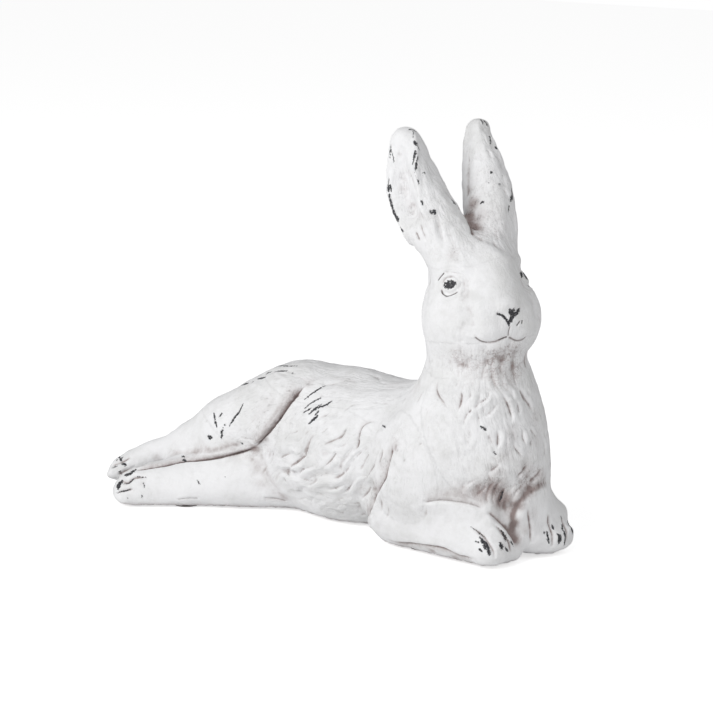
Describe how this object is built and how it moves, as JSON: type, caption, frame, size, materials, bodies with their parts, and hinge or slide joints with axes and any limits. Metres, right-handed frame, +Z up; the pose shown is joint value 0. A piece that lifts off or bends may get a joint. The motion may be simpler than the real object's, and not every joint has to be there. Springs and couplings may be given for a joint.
{
  "type": "reclining rabbit figurine",
  "caption": "Rabbit lying on its hip with its head up and turned, hind legs stretched out behind; a cast ornament in distressed off-white paint for a floor, shelf or garden.",
  "frame": {"origin": "bottom centre of the bounding box, on the floor that the felt pads rest on", "axes": "+X ahead of the breast, along the length; +Y to the rabbit's left; +Z up"},
  "size_m": [0.4196, 0.166, 0.332],
  "materials": {
    "chalk_paint": "cast resin under chalky off-white paint, washed brown in the hollows and rubbed back to dark grey on high spots",
    "dowel_steel": "plain drawn rod",
    "felt": "dense grey felt"
  },
  "bodies": {
    "root": {"ear_right": "chalk_paint", "ear_left": "chalk_paint", "foreleg_right": "chalk_paint", "foreleg_left": "chalk_paint", "hind_leg_right": "chalk_paint", "hind_leg_left": "chalk_paint", "tail": "chalk_paint", "head": "chalk_paint", "trunk": "chalk_paint", "neck_dowel": "dowel_steel", "ear_dowel_right": "dowel_steel", "ear_dowel_left": "dowel_steel", "foreleg_dowel_right": "dowel_steel", "foreleg_dowel_left": "dowel_steel", "hind_dowel_right": "dowel_steel", "hind_dowel_left": "dowel_steel", "felt_pad_breast_right": "felt", "felt_pad_breast_left": "felt", "felt_pad_foot": "felt", "felt_pad_hip": "felt"}
  },
  "joints": []
}
